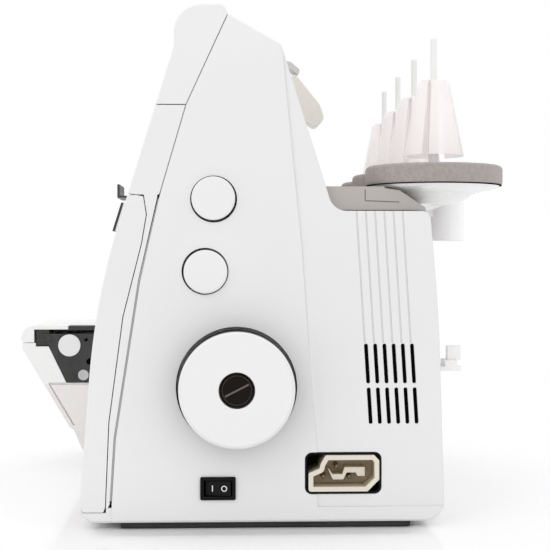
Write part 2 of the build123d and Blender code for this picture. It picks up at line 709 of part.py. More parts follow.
GUIDE_Z = (191.6, 200.4)
with BuildPart() as thread_guides:
    # front guide, above the looper door
    add(block((-20, 20), (-77.5, front_face(GUIDE_Z[0]) - 0.1), (GUIDE_Z[0], GUIDE_Z[0] + 1.4)))
    add(block((-20, 20), (-79, -77.5), GUIDE_Z))
    for x in (-10.0, 10.0):
        add(block((x - 1, x + 1), (-85, -76), (196, 203)), mode=Mode.SUBTRACT)
    # rear guide, a bent tab that stands off the top of the head
    with BuildSketch(Plane.YZ.offset(LEVER_X[0])):
        with BuildLine():
            FilletPolyline(
                (4, 282.9), (12, 279.1), (34, 290.5), (43.2, 283.8), (45.6, 286.6), (38, 293.2),
                (30, 292.4), (12, 282.6), (5, 285.9), radius=(0.4, 2, 3, 1, 2, 3, 3, 2, 0.4),
                close=True,
            )
        make_face()
    extrude(amount=LEVER_X[1] - LEVER_X[0])

# --- handwheel, main shaft and drive ------------------------------------------------
with BuildPart() as handwheel:
    add(rod_x((WHEEL_WELL_X + 3, WHEEL_X), SHAFT_Y, SHAFT_Z, WHEEL_R))
    chamfer(handwheel.edges().group_by(Axis.X)[-1], 1.5)
    with BuildSketch(Plane.YZ.offset(WHEEL_X - 4)):
        with Locations((SHAFT_Y, SHAFT_Z)):
            Circle(10.0)
    extrude(amount=5, mode=Mode.SUBTRACT)
    add(rod_x((WHEEL_WELL_X, WHEEL_X + 5), SHAFT_Y, SHAFT_Z, SHAFT_R), mode=Mode.SUBTRACT)
with BuildPart() as handwheel_hub_cap:
    add(rod_x((WHEEL_X - 3.9, WHEEL_X - 0.8), SHAFT_Y, SHAFT_Z, 9.4))
    chamfer(handwheel_hub_cap.edges().group_by(Axis.X)[-1], 0.6)
    with BuildSketch(Plane.YZ.offset(WHEEL_X - 2.2)):
        with Locations((SHAFT_Y, SHAFT_Z)):
            Rectangle(15, 1.8, rotation=27)
            Circle(8.3)
            Circle(7.7, mode=Mode.SUBTRACT)
    extrude(amount=3, mode=Mode.SUBTRACT)
with BuildPart() as main_shaft:
    add(rod_x((COLUMN_X + 6, WHEEL_X - 4.1), SHAFT_Y, SHAFT_Z, SHAFT_R))
    add(rod_x((BELT_X - 8, BELT_X + 8), SHAFT_Y, SHAFT_Z, BIG_PULLEY_R))
    add(rod_x((BELT_X - 4, BELT_X + 4), SHAFT_Y, SHAFT_Z, BIG_PULLEY_R + 9), mode=Mode.SUBTRACT)
    add(rod_x((BELT_X - 4, BELT_X + 4), SHAFT_Y, SHAFT_Z, BIG_PULLEY_R - 3))
    add(rod_x((10, 22), SHAFT_Y, SHAFT_Z, 16))
WALL_X = (-48.0, 100.0)
WALL_T = 8.0
with BuildPart() as shaft_bushes:
    for x in WALL_X:
        with BuildSketch(Plane.YZ.offset(x - 1)):
            with Locations((SHAFT_Y, SHAFT_Z)):
                Circle(9.0)
                Circle(SHAFT_R + 0.05, mode=Mode.SUBTRACT)
        extrude(amount=WALL_T + 2)
with BuildPart() as motor_shaft:
    add(rod_x((96, BELT_X + 6), MOTOR_Y, MOTOR_Z, 2.5))
    add(rod_x((BELT_X - 6, BELT_X + 6), MOTOR_Y, MOTOR_Z, SMALL_PULLEY_R - 1))
with BuildPart() as motor_body:
    add(rod_x((4, 104), MOTOR_Y, MOTOR_Z, MOTOR_R))
    add(rod_x((104, 110), MOTOR_Y, MOTOR_Z, 9))
    add(rod_x((90, 120), MOTOR_Y, MOTOR_Z, 2.55), mode=Mode.SUBTRACT)
    add(block((10, 98), (MOTOR_Y - 18, MOTOR_Y + 18), (22, MOTOR_Z - MOTOR_R + 6)))
BELT_IN = (BIG_PULLEY_R - 3 + GAP, SMALL_PULLEY_R - 1 + GAP)
BELT_T = 1.6
BELT_START = BELT_X - BELT_W / 2
with BuildPart() as drive_belt:
    for amount, mode in ((BELT_T, Mode.ADD), (0.0, Mode.SUBTRACT)):
        with BuildSketch(Plane.YZ.offset(BELT_START)):
            with Locations((SHAFT_Y, SHAFT_Z)):
                Circle(BELT_IN[0] + amount)
            with Locations((MOTOR_Y, MOTOR_Z)):
                Circle(BELT_IN[1] + amount)
            make_hull()
        extrude(amount=BELT_W, mode=mode)

with BuildPart() as machine_frame:
    add(block((-52, 112), (-45, 92), (10, 18)))
    for x in WALL_X:
        add(block((x, x + WALL_T), (-30, 26), (18, 150)))
        add(rod_x((x - 1, x + WALL_T + 1), SHAFT_Y, SHAFT_Z, 14))
        add(rod_x((x - 5, x + WALL_T + 5), SHAFT_Y, SHAFT_Z, 9), mode=Mode.SUBTRACT)
    add(block((-52, 108), (-22, 22), (150, 158)))
    add(block((-52, 60), (-10, 18), (158, 176)))
    add(block((-142, 60), (0, 16), (176, 190)))
    # arm end with the bores of the needle bar and the presser bar
    for z in ((176, 184), (228, 236)):
        add(block((-112, -88), (-40, 12), z))
    add(block((-112, -88), (4, 12), (176, 236)))
    for y in (NEEDLE_Y, PRESSER_Y):
        add(rod_z(NEEDLE_X, y, (170, 240), 3.28), mode=Mode.SUBTRACT)
    # the tension posts hang from a rail along the front
    add(block((min(DIAL_X) - 8, max(DIAL_X) + 10), (-18, -14), (186, 236)))
    add(block((-30, 60), (-18, 0), (186, 190)))

# --- adjusting knobs ----------------------------------------------------------------
def side_knob(place):
    """A round knob with a rounded rim and a shaft."""
    with BuildPart() as made:
        add(rod_x((SIDE_X - KNOB_DEPTH + 1, SIDE_X + KNOB_PROUD), *place, KNOB_R))
        fillet(made.edges().group_by(Axis.X)[-1], 1.0)
        add(rod_x((SIDE_X - 20, SIDE_X - KNOB_DEPTH + 2), *place, KNOB_SHAFT_R))
    return made.part


# --- switch and inlet ---------------------------------------------------------------
SWITCH_MID = (sum(SWITCH_Y) / 2, sum(SWITCH_Z) / 2)
SWITCH_SIZE = (SWITCH_Y[1] - SWITCH_Y[0], SWITCH_Z[1] - SWITCH_Z[0])
with BuildPart() as switch_housing:
    with BuildSketch(Plane.YZ.offset(SIDE_X)):
        with Locations(SWITCH_MID):
            RectangleRounded(*SWITCH_SIZE, 1.0)
    extrude(amount=1.2)
    with BuildSketch(Plane.YZ.offset(SIDE_X - 16)):
        with Locations(SWITCH_MID):
            Rectangle(SWITCH_SIZE[0] - 2.4, SWITCH_SIZE[1] - 2.4)
    extrude(amount=16)
    with BuildSketch(Plane.YZ.offset(SIDE_X - 8)):
        with Locations(SWITCH_MID):
            Rectangle(SWITCH_SIZE[0] - 4.0, SWITCH_SIZE[1] - 4.0)
    extrude(amount=12, mode=Mode.SUBTRACT)
    with BuildSketch(Plane.XY.offset(SWITCH_Z[0] + 1.2)):
        with Locations((SIDE_X - 3.0, SWITCH_MID[0])):
            Circle(1.0)
    extrude(amount=SWITCH_SIZE[1] - 2.4)
with BuildPart() as power_rocker:
    with BuildSketch(Plane.XY.offset(SWITCH_Z[0] + 2.4)):
        with BuildLine():
            Polyline(
                (SIDE_X - 5.6, SWITCH_MID[0] - 3),
                (SIDE_X - 0.9, SWITCH_MID[0] - 7.0),
                (SIDE_X + 0.6, SWITCH_MID[0]),
                (SIDE_X + 1.8, SWITCH_MID[0] + 7.2),
                (SIDE_X - 5.6, SWITCH_MID[0] + 3),
                close=True,
            )
        make_face()
    extrude(amount=SWITCH_SIZE[1] - 4.8)
    add(rod_z(SIDE_X - 3, SWITCH_MID[0], (0, 60), 1.05), mode=Mode.SUBTRACT)

INLET_MID = (sum(INLET_Y) / 2, sum(INLET_Z) / 2)
with BuildPart() as inlet_bezel:
    with BuildSketch(Plane.YZ.offset(SIDE_X - 26)):
        with Locations(INLET_MID):
            RectangleRounded(42.7, 23.0, 4)
    extrude(amount=25.2)
    with BuildSketch(Plane.YZ.offset(SIDE_X - 24)):
        with Locations(INLET_MID):
            RectangleRounded(40.7, 21.0, 3)
    extrude(amount=30, mode=Mode.SUBTRACT)
INLET_SHAPE = (  # (Y, Z, corner radius) about the middle of the connector body
    (-19.6, -10.2, 1.5), (13.6, -10.2, 0.8), (20.2, -3.6, 0.8), (20.2, 7.2, 0.8),
    (17.4, 10.2, 0.8), (-10.0, 10.2, 1.0), (-12.8, 5.4, 0.8), (-13.4, 2.8, 0.8),
    (-19.6, 0.2, 1.0),
)
KEY_SHAPE = (
    (1.1, 2.9), (12.5, 2.9), (12.5, -2.2), (8.4, -2.2), (7.3, -0.2), (2.2, -0.2), (0.3, -4.1),
    (-5.6, -4.1), (-8.5, 2.2), (-8.0, 2.2), (-5.8, -1.1), (-0.2, -1.1),
)
INLET_PINS = ((-3.2, 3.0), (-10.6, -2.8), (4.1, -2.9))
INLET_PIN_R = 1.3


def around_inlet(points):
    """Points of the connector's face, placed at its middle."""
    return [(INLET_MID[0] + point[0], INLET_MID[1] + point[1]) for point in points]


with BuildSketch() as inlet_face:
    with BuildLine():
        FilletPolyline(
            *around_inlet(INLET_SHAPE), radius=[r for y, z, r in INLET_SHAPE], close=True
        )
    make_face()
with BuildPart() as inlet_socket:
    with BuildSketch(Plane.YZ.offset(SIDE_X - 23.8)):
        add(inlet_face.sketch)
    extrude(amount=24.4)
    with BuildSketch(Plane.YZ.offset(SIDE_X - 15)):
        offset(inlet_face.sketch, amount=-2.7, kind=Kind.INTERSECTION)
    extrude(amount=20, mode=Mode.SUBTRACT)
    # key rib between the pins
    add(side_slab(around_inlet(KEY_SHAPE), (SIDE_X - 16, SIDE_X - 4)))
    for place in around_inlet(INLET_PINS):
        add(rod_x((SIDE_X - 30, SIDE_X), *place, INLET_PIN_R + 0.05), mode=Mode.SUBTRACT)
with BuildPart() as inlet_pins:
    for place in around_inlet(INLET_PINS):
        add(rod_x((SIDE_X - 23.7, SIDE_X - 6), *place, INLET_PIN_R))
    chamfer(inlet_pins.edges().group_by(Axis.X)[-1], 0.4)

# --- spool stand --------------------------------------------------------------------
PIN_BASE_R = 3.0
PIN_R = 2.0
PIN_TIP_R = 1.9
PIN_TIP_Z = CONE_Z[1] + 0.8  # the bare tip above the cone


def turned(outline_points, x, y):
    """A turned piece, from the half outline (radius, Z) about a vertical line at (x, y)."""
    with BuildPart() as made:
        with BuildSketch(Plane(origin=(x, y, 0), x_dir=(1, 0, 0), z_dir=(0, -1, 0))):
            with BuildLine():
                Polyline(*outline_points, close=True)
            make_face()
        revolve(axis=Axis((x, y, 0), (0, 0, 1)))
    return made.part


DISH = (
    (3.0, 183.0), (12, 183.4), (19, 186.2), (23.0, 189.6), (36.0, 192.4), (38.5, 193.9),
    (3.0, 193.9),
)
with BuildPart() as spool_dishes:
    for x in SPOOL_X:
        add(turned(DISH, x, SPOOL_Y))
BAR_END_X = 140.0
BAR_LOW = 179.0
BAR_HEAD_Y = 52.0  # behind the head the bar starts here
BAR_SHAPE = [(44.0, BAR_LOW), (105.3, BAR_LOW), (105.3, 180.4), (87.4, 192.4), (44.0, 192.4)]
BAR_NOTCH = (
    [(70.7, 184.0), (71.2, 184.0), (71.2, 190.6), (70.7, 190.6)],
    [(70.7, 184.0), (90.3, 183.3), (90.3, 183.8), (70.7, 184.5)],
)
with BuildPart() as spool_stand:
    # the bar fills the corner behind the casing and tapers under the dishes
    add(side_slab(BAR_SHAPE, (HEAD_X, BAR_END_X)))
    fillet(spool_stand.edges().filter_by(Axis.X).group_by(Axis.Z)[-1].sort_by(Axis.Y)[-1], 1.0)
    for notch in BAR_NOTCH:
        add(side_slab(notch, (BAR_END_X - 0.8, BAR_END_X + 1)), mode=Mode.SUBTRACT)
    add(
        block((HEAD_X - 1, COLUMN_X - GAP), (0, BAR_HEAD_Y), (BAR_LOW - 1, CASE_TOP)),
        mode=Mode.SUBTRACT,
    )
    # arm of the tree cup, which runs back between two dishes
    add(block((CUP_X - 5, CUP_X + 5), (100, CUP_Y - CUP_R + 2), (180, 186)))
    add(rod_z(CUP_X, CUP_Y, CUP_Z, CUP_R))
    add(rod_z(CUP_X, CUP_Y, (CUP_Z[0] + 3, CUP_Z[1] + 5), CUP_BORE), mode=Mode.SUBTRACT)
    add(spool_dishes.part, mode=Mode.SUBTRACT)
    with BuildSketch(Plane.YZ.offset(COLUMN_X - GAP)):
        offset(outline.sketch, amount=0.1)
    extrude(amount=SIDE_X - COLUMN_X + 1, mode=Mode.SUBTRACT)
    for x in SPOOL_X:
        add(rod_z(x, SPOOL_Y, (182, 200), 23.3), mode=Mode.SUBTRACT)
        add(turned(((0.1, 188), (24, 188), (42, 191.5), (42, 200), (0.1, 200)), x, SPOOL_Y),
            mode=Mode.SUBTRACT)
with BuildPart() as spool_pins:
    for x in SPOOL_X:
        add(rod_z(x, SPOOL_Y, (183.2, CONE_Z[0] + 1.0), PIN_BASE_R - 0.02))
        add(rod_z(x, SPOOL_Y, (CONE_Z[0], PIN_TIP_Z), PIN_R))
        add(rod_z(x, SPOOL_Y, (PIN_TIP_Z - 1, PIN_TOP), PIN_TIP_R))
    chamfer(spool_pins.edges().group_by(Axis.Z)[-1], 0.6)
with BuildPart() as foam_pads:
    for x in SPOOL_X:
        with BuildSketch(Plane.XY.offset(FOAM_Z[0])):
            with Locations((x, SPOOL_Y)):
                Circle(FOAM_R)
                Circle(3.5, mode=Mode.SUBTRACT)
        extrude(amount=FOAM_Z[1] - FOAM_Z[0])
CONE = (
    (2.3, CONE_Z[0] + 1.3), (9.5, CONE_Z[0] + 1.3), (16.4, CONE_Z[0]), (17.75, CONE_Z[0]),
    (8.95, CONE_Z[1]), (6.5, CONE_Z[1]), (6.5, CONE_Z[1] - 1.5), (7.3, CONE_Z[1] - 3),
    (14.9, CONE_Z[0] + 3.3), (3.4, CONE_Z[0] + 3.3), (3.4, CONE_Z[1] - 1.5),
    (2.3, CONE_Z[1] - 1.5),
)

# --- small outer pieces -------------------------------------------------------------
with BuildPart() as rear_thread_cutter:
    add(block((116, 132), (115.2, 127), (87, 89.4)))
    add(block((116, 132), (118, 125), (89.4, 93)))
    add(block((122, 128), (120, 127.5), (93, 101)))
RUNNER_X = (-130.0, 134.0)
RUNNER_W = 22.0
RUNNER_Y = (-67.0, 96.0)
with BuildPart() as feet:
    for x in RUNNER_X:
        add(block((x - RUNNER_W / 2, x + RUNNER_W / 2), RUNNER_Y, (0, FLOOR_Z - 0.05)))
    chamfer(feet.edges().group_by(Axis.Z)[0], 0.8)
with BuildPart() as screws:
    for x, y in ((-30, -30), (90, -30), (-30, 80), (90, 80)):
        add(rod_z(x, y, (FLOOR_Z - 2.6, FLOOR_Z - 0.1), 3.4))
    for y, z in ((-110.2, 68.4), (-76.0, 90.0)):
        add(rod_x((BED_RIGHT_X - 0.6, BED_RIGHT_X + 0.2), y, z, 3.8))
        with BuildSketch(Plane.YZ.offset(BED_RIGHT_X - 0.3)):
            with Locations((y, z)):
                Rectangle(4.6, 1.0)
                Rectangle(1.0, 4.6)
        extrude(amount=3, mode=Mode.SUBTRACT)

# --- write every piece --------------------------------------------------------------
PIECES = {
    "right_cover": right_cover,
    "rear_cover": rear_cover,
    "left_cover": left_cover,
    "top_cover": top_cover,
    "front_panel": front_panel,
    "looper_door": looper_door,
    "base_pan": base_pan,
    "door_grip": door_grip,
    "door_hinge_rod": door_hinge_rod,
    "bed_housing": bed_housing,
    "cloth_plate": cloth_plate,
    "bed_side_plate": bed_side_plate,
    "stitch_width_knob": stitch_width_knob,
    "needle_plate": needle_plate,
    "feed_dogs": feed_dogs,
    "lower_knife": lower_knife,
    "upper_knife": upper_knife,
    "upper_looper": upper_looper,
    "lower_looper": lower_looper,
    "needle_bar": needle_bar,
    "needles": needles,
    "presser_bar": presser_bar,
    "presser_spring": presser_spring,
    "presser_ankle": presser_ankle,
    "presser_foot": presser_foot,
    "presser_lever": presser_lever,
    "pressure_screw": pressure_screw,
    "take_up_lever": take_up_lever,
    "tension_posts": tension_posts,
    "thread_guides": thread_guides,
    "handwheel": handwheel,
    "handwheel_hub_cap": handwheel_hub_cap,
    "main_shaft": main_shaft,
    "shaft_bushes": shaft_bushes,
    "motor_shaft": motor_shaft,
    "motor_body": motor_body,
    "drive_belt": drive_belt,
    "machine_frame": machine_frame,
    "switch_housing": switch_housing,
    "power_rocker": power_rocker,
    "inlet_bezel": inlet_bezel,
    "inlet_socket": inlet_socket,
    "inlet_pins": inlet_pins,
    "spool_dishes": spool_dishes,
    "spool_stand": spool_stand,
    "spool_pins": spool_pins,
    "foam_pads": foam_pads,
    "rear_thread_cutter": rear_thread_cutter,
    "feet": feet,
    "screws": screws,
}
for piece_name, piece in PIECES.items():
    save(piece.part, piece_name)
save(side_knob(LENGTH_KNOB), "stitch_length_knob")
save(side_knob(FEED_KNOB), "differential_knob")
for number, x in enumerate(DIAL_X, 1):
    save(tension_dial(x), f"tension_dial_{number}")
for number, x in enumerate(SPOOL_X, 1):
    save(turned(CONE, x, SPOOL_Y), f"spool_cone_{number}")
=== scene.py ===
"""Looks of the serger overlock machine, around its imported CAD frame. Metres, +Z up."""

import math

import bmesh
import bpy
from mathutils import Matrix, Vector


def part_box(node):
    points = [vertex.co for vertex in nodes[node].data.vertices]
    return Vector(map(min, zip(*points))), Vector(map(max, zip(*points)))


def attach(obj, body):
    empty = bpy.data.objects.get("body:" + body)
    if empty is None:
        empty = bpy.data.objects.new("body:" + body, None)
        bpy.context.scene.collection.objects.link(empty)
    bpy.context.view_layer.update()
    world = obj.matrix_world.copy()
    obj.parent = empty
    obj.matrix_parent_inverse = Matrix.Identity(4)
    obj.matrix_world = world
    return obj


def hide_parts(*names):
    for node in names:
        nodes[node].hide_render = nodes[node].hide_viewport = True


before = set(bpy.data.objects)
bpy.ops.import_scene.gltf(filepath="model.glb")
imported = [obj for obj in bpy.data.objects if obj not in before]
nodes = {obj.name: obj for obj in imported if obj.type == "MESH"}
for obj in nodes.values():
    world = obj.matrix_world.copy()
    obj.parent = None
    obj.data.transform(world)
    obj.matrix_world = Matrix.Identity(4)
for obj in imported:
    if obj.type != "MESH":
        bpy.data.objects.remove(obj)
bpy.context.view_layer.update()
MM = 0.001


# --- camera -----------------------------------------------------------------------
CAMERA_PLACE = (0.878, -0.0085, 0.1495)
CAMERA_YAW, CAMERA_PITCH = math.radians(2.19), math.radians(0.57)
CAMERA_LENS = 85.4  # mm, on a sensor 36 mm wide


def make_camera():
    """A level side view from the handwheel side, a little above the middle."""
    data = bpy.data.cameras.new("camera")
    data.sensor_width = 36.0
    data.lens = CAMERA_LENS
    data.clip_end = 50.0
    camera = bpy.data.objects.new("camera", data)
    bpy.context.scene.collection.objects.link(camera)
    camera.location = CAMERA_PLACE
    level = math.cos(CAMERA_PITCH)
    ahead = Vector((-math.cos(CAMERA_YAW) * level, math.sin(CAMERA_YAW) * level,
                    -math.sin(CAMERA_PITCH)))
    camera.rotation_euler = ahead.to_track_quat("-Z", "Y").to_euler()
    bpy.context.scene.camera = camera


# --- materials --------------------------------------------------------------------
def new_material(name, color, roughness, metallic=0.0, coat=0.0):
    """A Principled material with its node tree and shader."""
    material = bpy.data.materials.new(name)
    material.use_nodes = True
    tree = material.node_tree
    shader = tree.nodes["Principled BSDF"]
    shader.inputs["Base Color"].default_value = (*color, 1.0)
    shader.inputs["Roughness"].default_value = roughness
    shader.inputs["Metallic"].default_value = metallic
    shader.inputs["Coat Weight"].default_value = coat
    shader.inputs["Coat Roughness"].default_value = 0.15
    return material, tree, shader


def add_noise(tree, scale, detail=4.0, stretch=(1.0, 1.0, 1.0)):
    """Noise in object space, in cycles per metre."""
    place = tree.nodes.new("ShaderNodeTexCoord")
    mapping = tree.nodes.new("ShaderNodeMapping")
    mapping.inputs["Scale"].default_value = stretch
    noise = tree.nodes.new("ShaderNodeTexNoise")
    noise.inputs["Scale"].default_value = scale
    noise.inputs["Detail"].default_value = detail
    tree.links.new(place.outputs["Object"], mapping.inputs["Vector"])
    tree.links.new(mapping.outputs["Vector"], noise.inputs["Vector"])
    return noise.outputs["Fac"]


def add_ramp(tree, source, low, high, start=0.3, end=0.7):
    """Maps a 0-1 value to two colours."""
    ramp = tree.nodes.new("ShaderNodeValToRGB")
    ramp.color_ramp.elements[0].position = start
    ramp.color_ramp.elements[0].color = (*low, 1.0)
    ramp.color_ramp.elements[1].position = end
    ramp.color_ramp.elements[1].color = (*high, 1.0)
    tree.links.new(source, ramp.inputs["Fac"])
    return ramp.outputs["Color"]


def add_bump(tree, shader, height, depth, strength=1.0, edge=0.0):
    """Bump of a given depth in metres, over edges softened by a small radius."""
    bump = tree.nodes.new("ShaderNodeBump")
    bump.inputs["Distance"].default_value = depth
    bump.inputs["Strength"].default_value = strength
    tree.links.new(height, bump.inputs["Height"])
    if edge:
        bevel = tree.nodes.new("ShaderNodeBevel")
        bevel.samples = 4
        bevel.inputs["Radius"].default_value = edge
        tree.links.new(bevel.outputs["Normal"], bump.inputs["Normal"])
    tree.links.new(bump.outputs["Normal"], shader.inputs["Normal"])


def plastic(name, color, roughness=0.38, coat=0.0, spread=0.02, edge=0.5 * MM, grain=1.0):
    """Moulded plastic: a fine spark-eroded grain, faint cloudiness, softened edges."""
    material, tree, shader = new_material(name, color, roughness, coat=coat)
    cloud = add_noise(tree, 9.0, 3.0)
    dark = tuple(max(0.0, c * (1 - spread)) for c in color)
    light = tuple(min(1.0, c * (1 + spread)) for c in color)
    tree.links.new(add_ramp(tree, cloud, dark, light), shader.inputs["Base Color"])
    rough = add_noise(tree, 60.0, 5.0)
    low, high = roughness * 0.85, roughness * 1.15
    tree.links.new(add_ramp(tree, rough, (low,) * 3, (high,) * 3), shader.inputs["Roughness"])
    add_bump(tree, shader, add_noise(tree, 2600.0, 2.0), 0.012 * MM * grain, 0.6, edge)
    shader.inputs["IOR"].default_value = 1.49
    return material


def steel(name, color=(0.55, 0.55, 0.56), roughness=0.28, stretch=(1.0, 1.0, 12.0)):
    """Brushed or ground steel with fine directional scratches."""
    material, tree, shader = new_material(name, color, roughness, metallic=1.0)
    brush = add_noise(tree, 900.0, 3.0, stretch)
    low, high = roughness * 0.7, roughness * 1.5
    tree.links.new(add_ramp(tree, brush, (low,) * 3, (high,) * 3), shader.inputs["Roughness"])
    dark = tuple(c * 0.88 for c in color)
    tree.links.new(add_ramp(tree, add_noise(tree, 40.0), dark, color), shader.inputs["Base Color"])
    add_bump(tree, shader, brush, 0.01 * MM, 0.5, 0.25 * MM)
    return material


def cast_metal(name, color, roughness=0.5):
    """Painted or bare casting with a slightly rough skin."""
    material, tree, shader = new_material(name, color, roughness, metallic=0.85)
    dark = tuple(c * 0.8 for c in color)
    tree.links.new(add_ramp(tree, add_noise(tree, 120.0), dark, color), shader.inputs["Base Color"])
    add_bump(tree, shader, add_noise(tree, 700.0, 4.0), 0.08 * MM, 0.7, 0.6 * MM)
    return material


def foam_material():
    """Open-cell foam: fine dark pores in a taupe ground."""
    material, tree, shader = new_material("foam", (0.36, 0.32, 0.30), 0.95)
    place = tree.nodes.new("ShaderNodeTexCoord")
    cells = tree.nodes.new("ShaderNodeTexVoronoi")
    cells.inputs["Scale"].default_value = 1900.0
    tree.links.new(place.outputs["Object"], cells.inputs["Vector"])
    pores = add_ramp(tree, cells.outputs["Distance"], (0.46, 0.41, 0.39), (0.34, 0.30, 0.285),
                     0.10, 0.85)
    cloud = add_ramp(tree, add_noise(tree, 420.0, 6.0), (0.84,) * 3, (1.0,) * 3)
    mix = tree.nodes.new("ShaderNodeMix")
    mix.data_type = "RGBA"
    mix.blend_type = "MULTIPLY"
    mix.inputs["Factor"].default_value = 1.0
    tree.links.new(pores, mix.inputs["A"])
    tree.links.new(cloud, mix.inputs["B"])
    tree.links.new(mix.outputs["Result"], shader.inputs["Base Color"])
    shader.inputs["Sheen Weight"].default_value = 0.25
    shader.inputs["Sheen Roughness"].default_value = 0.6
    add_bump(tree, shader, cells.outputs["Distance"], 0.2 * MM, 0.7)
    return material


def milky(name):
    """Thin translucent polypropylene, with a faint painted glow."""
    material, tree, shader = new_material(name, (0.96, 0.93, 0.925), 0.4)
    shader.inputs["Transmission Weight"].default_value = 0.25
    shader.inputs["IOR"].default_value = 1.15
    shader.inputs["Alpha"].default_value = 0.62
    # A faint pinkish glow is painted light: it brightens the cones as light passing through them
    # would.
    shader.inputs["Emission Color"].default_value = (1.0, 0.965, 0.96, 1.0)
    shader.inputs["Emission Strength"].default_value = 0.07
    flow = add_noise(tree, 40.0, 3.0, (1.0, 1.0, 0.2))
    tree.links.new(add_ramp(tree, flow, (0.28,) * 3, (0.45,) * 3), shader.inputs["Roughness"])
    add_bump(tree, shader, flow, 0.05 * MM, 0.4)
    return material


def add_split(tree, axis, limit, below, above, soft=0.2 * MM):
    """Colour that changes at a height along one axis of the machine's own frame."""
    place = tree.nodes.new("ShaderNodeTexCoord")
    parts = tree.nodes.new("ShaderNodeSeparateXYZ")
    span = tree.nodes.new("ShaderNodeMapRange")
    span.inputs["From Min"].default_value = limit - soft
    span.inputs["From Max"].default_value = limit + soft
    mix = tree.nodes.new("ShaderNodeMix")
    mix.data_type = "RGBA"
    for socket, color in (("A", below), ("B", above)):
        if isinstance(color, tuple):
            mix.inputs[socket].default_value = (*color, 1.0)
        else:
            tree.links.new(color, mix.inputs[socket])
    tree.links.new(place.outputs["Object"], parts.inputs["Vector"])
    tree.links.new(parts.outputs[axis], span.inputs["Value"])
    tree.links.new(span.outputs["Result"], mix.inputs["Factor"])
    return mix.outputs["Result"]


def split_plastic(name, axis, limit, below, above, roughness=0.4, soft=0.2 * MM):
    """Moulded plastic in two colours that meet at a plane."""
    material = plastic(name, above, roughness)
    tree = material.node_tree
    shader = tree.nodes["Principled BSDF"]
    tree.links.new(add_split(tree, axis, limit, below, above, soft), shader.inputs["Base Color"])
    return material


def shade_back(material, limit, soft=3.0 * MM):
    """Painted shade: near-black behind a limit along X, where a rim runs into its well."""
    tree = material.node_tree
    shader = tree.nodes["Principled BSDF"]
    front = shader.inputs["Base Color"].links[0].from_socket
    shaded = add_split(tree, "X", limit, (0.004, 0.004, 0.004), front, soft)
    tree.links.new(shaded, shader.inputs["Base Color"])


def dull(name, color, roughness=0.9):
    """Painted shade: a near-black, unlit-looking skin for recesses and gaps."""
    material, tree, shader = new_material(name, color, roughness)
    shader.inputs["Specular IOR Level"].default_value = 0.05
    light = tuple(c * 1.6 for c in color)
    tree.links.new(add_ramp(tree, add_noise(tree, 300.0), color, light),
                   shader.inputs["Base Color"])
    return material


def dimmed(material, specular):
    """The same material with a weaker surface reflection."""
    shader = material.node_tree.nodes["Principled BSDF"]
    shader.inputs["Specular IOR Level"].default_value = specular
    return material


def rubber(name, color):
    """Matt rubber with a faint bloom."""
    material, tree, shader = new_material(name, color, 0.75)
    light = tuple(c * 1.5 for c in color)
    tree.links.new(add_ramp(tree, add_noise(tree, 80.0), color, light), shader.inputs["Base Color"])
    add_bump(tree, shader, add_noise(tree, 1500.0), 0.03 * MM, 0.6, 0.4 * MM)
    return material


def dress(material, *names):
    """Gives CAD nodes a material, in all their slots."""
    for name in names:
        for entry in nodes[name].material_slots:
            entry.link = "OBJECT"
            entry.material = material


# --- palette ----------------------------------------------------------------------
BODY = (0.80, 0.795, 0.80)
KNOB = (0.82, 0.818, 0.82)
WARM = (0.455, 0.425, 0.40)  # warm grey of the spool stand
BED_WARM_BELOW_Z = 62.0 * MM  # the bed's lower skirt is warmer below this
STAND_LIGHT_Y = 127.5 * MM  # the stand's cup is light behind this
GUIDE_LIGHT_Z = 0.24  # the thread guide on top is light, the front one dark
FACE_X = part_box("right_cover")[1].x
white = plastic("body_white", BODY)
white_knob = plastic("knob_white", KNOB, 0.34)
WHEEL_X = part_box("handwheel")[1].x
# The wheel's side is painted shade: mid grey just behind the rim, and near-black further back where
# it runs into its well.
wheel_white_shaded = split_plastic("wheel_white_shaded", "X", WHEEL_X - 1.6 * MM, (0.40, 0.38, 0.37), KNOB,
                            0.34)
shade_back(wheel_white_shaded, WHEEL_X - 6.0 * MM)
plate_white = plastic("plate_white", (0.90, 0.89, 0.885))
# The bed's white is painted lighter than the body's same white, standing in for light its shaded
# faces lack; below the split height it is warmer and darker.
bed_white_lit = split_plastic("bed_white_lit", "Z", BED_WARM_BELOW_Z, (0.85, 0.815, 0.80),
                          (0.90, 0.895, 0.89))
# The cup is white, and painted lighter than the body's white to make up for the shade the dish
# casts on it.
stand_grey = split_plastic("stand_grey", "Y", STAND_LIGHT_Y, WARM, (0.96, 0.95, 0.95), 0.42)
screw_grey = plastic("screw_grey", WARM, 0.42)
dish_white = plastic("dish_white", (0.84, 0.845, 0.835), 0.26, coat=0.3)
cream = plastic("lever_cream", (0.80, 0.77, 0.71), 0.30, coat=0.3)
black = dimmed(plastic("black_plastic", (0.006, 0.006, 0.006), 0.6), 0.12)
black_gloss = dimmed(plastic("black_gloss", (0.006, 0.006, 0.006), 0.5), 0.15)
# Near-black painted shade for the wells, the gaps and the space behind the vents.
gap_shade_black = dull("gap_shade_black", (0.0015, 0.0015, 0.0015))
cap_brown = dimmed(plastic("cap_brown", (0.006, 0.0035, 0.0025), 0.5), 0.12)
cap_line = dimmed(plastic("cap_line", (0.13, 0.11, 0.10), 0.5), 0.3)
# Inside the inlet, behind the side face, the ivory is painted darker and browner: painted shade in
# the recess.
ivory_shaded_inside = dimmed(split_plastic("ivory_shaded_inside", "X", FACE_X + 0.3 * MM, (0.60, 0.51, 0.37),
                             (0.76, 0.72, 0.62), 0.5), 0.2)
